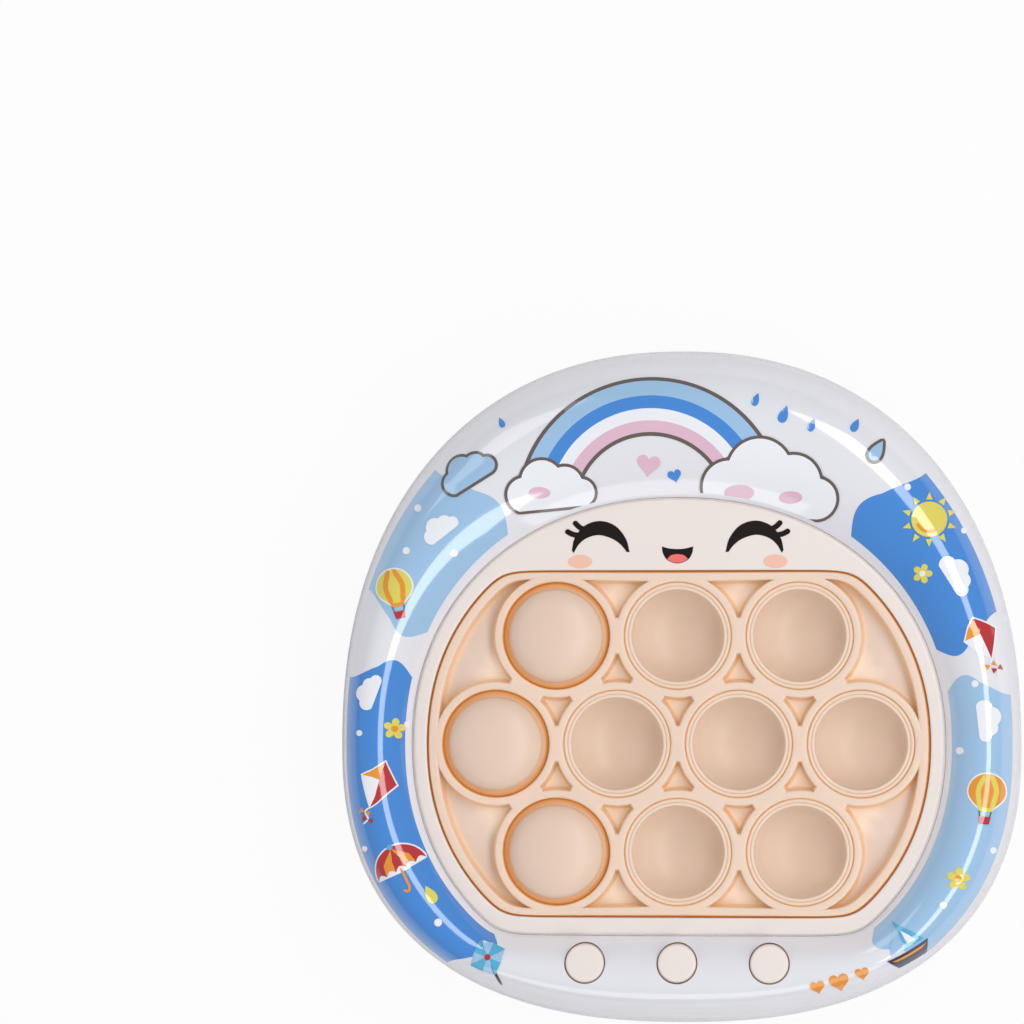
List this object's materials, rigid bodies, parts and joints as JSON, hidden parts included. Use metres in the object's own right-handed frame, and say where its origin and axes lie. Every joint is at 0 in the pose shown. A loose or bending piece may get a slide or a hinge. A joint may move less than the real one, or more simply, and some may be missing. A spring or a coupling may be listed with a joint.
{
  "type": "electronic bubble pop game",
  "caption": "Handheld bubble pop game: ring shell round a cream bezel and a spring-back silicone board of poppable bubbles, with round buttons under it and a battery box behind.",
  "frame": {"origin": "middle of the toy's outline, on the surface that it lies on", "axes": "+Z out of the bubble face, +Y towards the forehead of the face, +X across the toy"},
  "size_m": [0.16, 0.158, 0.04],
  "materials": {
    "shell": "glossy white moulding",
    "printed_shell": "high gloss white with a printed sky pattern under the gloss",
    "cream": "satin cream moulding",
    "silicone": "matt peach silicone",
    "inner_plastic": "plain moulding",
    "circuit_board": "green solder mask",
    "dark_plastic": "black moulding",
    "milky_cap": "milky light cap",
    "steel": "bright plated steel",
    "foot_rubber": "grey rubber",
    "cell": "plain blue wrap",
    "lead": "red insulation"
  },
  "bodies": {
    "case": {"rear_shell": "shell", "front_shell": "printed_shell", "face_bezel": "cream", "main_board": "circuit_board", "control_chip": "dark_plastic", "bubble_switch_01": "milky_cap", "bubble_switch_02": "milky_cap", "bubble_switch_03": "milky_cap", "bubble_switch_04": "milky_cap", "bubble_switch_05": "milky_cap", "bubble_switch_06": "milky_cap", "bubble_switch_07": "milky_cap", "bubble_switch_08": "milky_cap", "bubble_switch_09": "milky_cap", "bubble_switch_10": "milky_cap", "button_switch_left": "dark_plastic", "button_switch_middle": "dark_plastic", "button_switch_right": "dark_plastic", "board_screw_1": "steel", "board_screw_2": "steel", "speaker": "dark_plastic", "speaker_lead": "lead", "battery_lead": "lead", "battery_1": "cell", "battery_2": "cell", "battery_3": "cell", "contact_plus": "steel", "contact_minus": "steel", "contact_bridge_1": "steel", "contact_bridge_2": "steel", "case_screw_1": "steel", "case_screw_2": "steel", "case_screw_3": "steel", "case_screw_4": "steel", "foot_1": "foot_rubber", "foot_2": "foot_rubber", "foot_3": "foot_rubber", "foot_4": "foot_rubber", "return_spring_1": "steel", "return_spring_2": "steel", "return_spring_3": "steel", "return_spring_4": "steel"},
    "push_board": {"bubble_sheet": "silicone", "board_frame": "inner_plastic"},
    "bubble_01": {"bubble_01": "silicone"},
    "bubble_02": {"bubble_02": "silicone"},
    "bubble_03": {"bubble_03": "silicone"},
    "bubble_04": {"bubble_04": "silicone"},
    "bubble_05": {"bubble_05": "silicone"},
    "bubble_06": {"bubble_06": "silicone"},
    "bubble_07": {"bubble_07": "silicone"},
    "bubble_08": {"bubble_08": "silicone"},
    "bubble_09": {"bubble_09": "silicone"},
    "bubble_10": {"bubble_10": "silicone"},
    "button_left": {"button_cap_left": "cream"},
    "button_middle": {"button_cap_middle": "cream"},
    "button_right": {"button_cap_right": "cream"},
    "battery_door": {"battery_door": "shell", "door_screw": "steel"}
  },
  "joints": [
    {"name": "board_push", "type": "slide", "parent": "case", "child": "push_board", "axis": [0, 0, 1], "range_m": [-0.003, 0], "stiffness_N_per_m": 500, "springref_m": 0.004, "deforming": ["return_spring_1", "return_spring_2", "return_spring_3", "return_spring_4"]},
    {"name": "bubble_01_pop", "type": "slide", "parent": "push_board", "child": "bubble_01", "axis": [0, 0, 1], "range_m": [-0.0138, 0]},
    {"name": "bubble_02_pop", "type": "slide", "parent": "push_board", "child": "bubble_02", "axis": [0, 0, 1], "range_m": [0, 0.0138]},
    {"name": "bubble_03_pop", "type": "slide", "parent": "push_board", "child": "bubble_03", "axis": [0, 0, 1], "range_m": [0, 0.0138]},
    {"name": "bubble_04_pop", "type": "slide", "parent": "push_board", "child": "bubble_04", "axis": [0, 0, 1], "range_m": [-0.0138, 0]},
    {"name": "bubble_05_pop", "type": "slide", "parent": "push_board", "child": "bubble_05", "axis": [0, 0, 1], "range_m": [0, 0.0138]},
    {"name": "bubble_06_pop", "type": "slide", "parent": "push_board", "child": "bubble_06", "axis": [0, 0, 1], "range_m": [0, 0.0138]},
    {"name": "bubble_07_pop", "type": "slide", "parent": "push_board", "child": "bubble_07", "axis": [0, 0, 1], "range_m": [0, 0.0138]},
    {"name": "bubble_08_pop", "type": "slide", "parent": "push_board", "child": "bubble_08", "axis": [0, 0, 1], "range_m": [-0.0138, 0]},
    {"name": "bubble_09_pop", "type": "slide", "parent": "push_board", "child": "bubble_09", "axis": [0, 0, 1], "range_m": [0, 0.0138]},
    {"name": "bubble_10_pop", "type": "slide", "parent": "push_board", "child": "bubble_10", "axis": [0, 0, 1], "range_m": [0, 0.0138]},
    {"name": "button_left_press", "type": "slide", "parent": "case", "child": "button_left", "axis": [0, 0, 1], "range_m": [-0.0008, 0], "stiffness_N_per_m": 600, "springref_m": 0.001},
    {"name": "button_middle_press", "type": "slide", "parent": "case", "child": "button_middle", "axis": [0, 0, 1], "range_m": [-0.0008, 0], "stiffness_N_per_m": 600, "springref_m": 0.001},
    {"name": "button_right_press", "type": "slide", "parent": "case", "child": "button_right", "axis": [0, 0, 1], "range_m": [-0.0008, 0], "stiffness_N_per_m": 600, "springref_m": 0.001},
    {"name": "door_off", "type": "slide", "parent": "case", "child": "battery_door", "axis": [0, 0, -1], "range_m": [0, 0.012]}
  ]
}
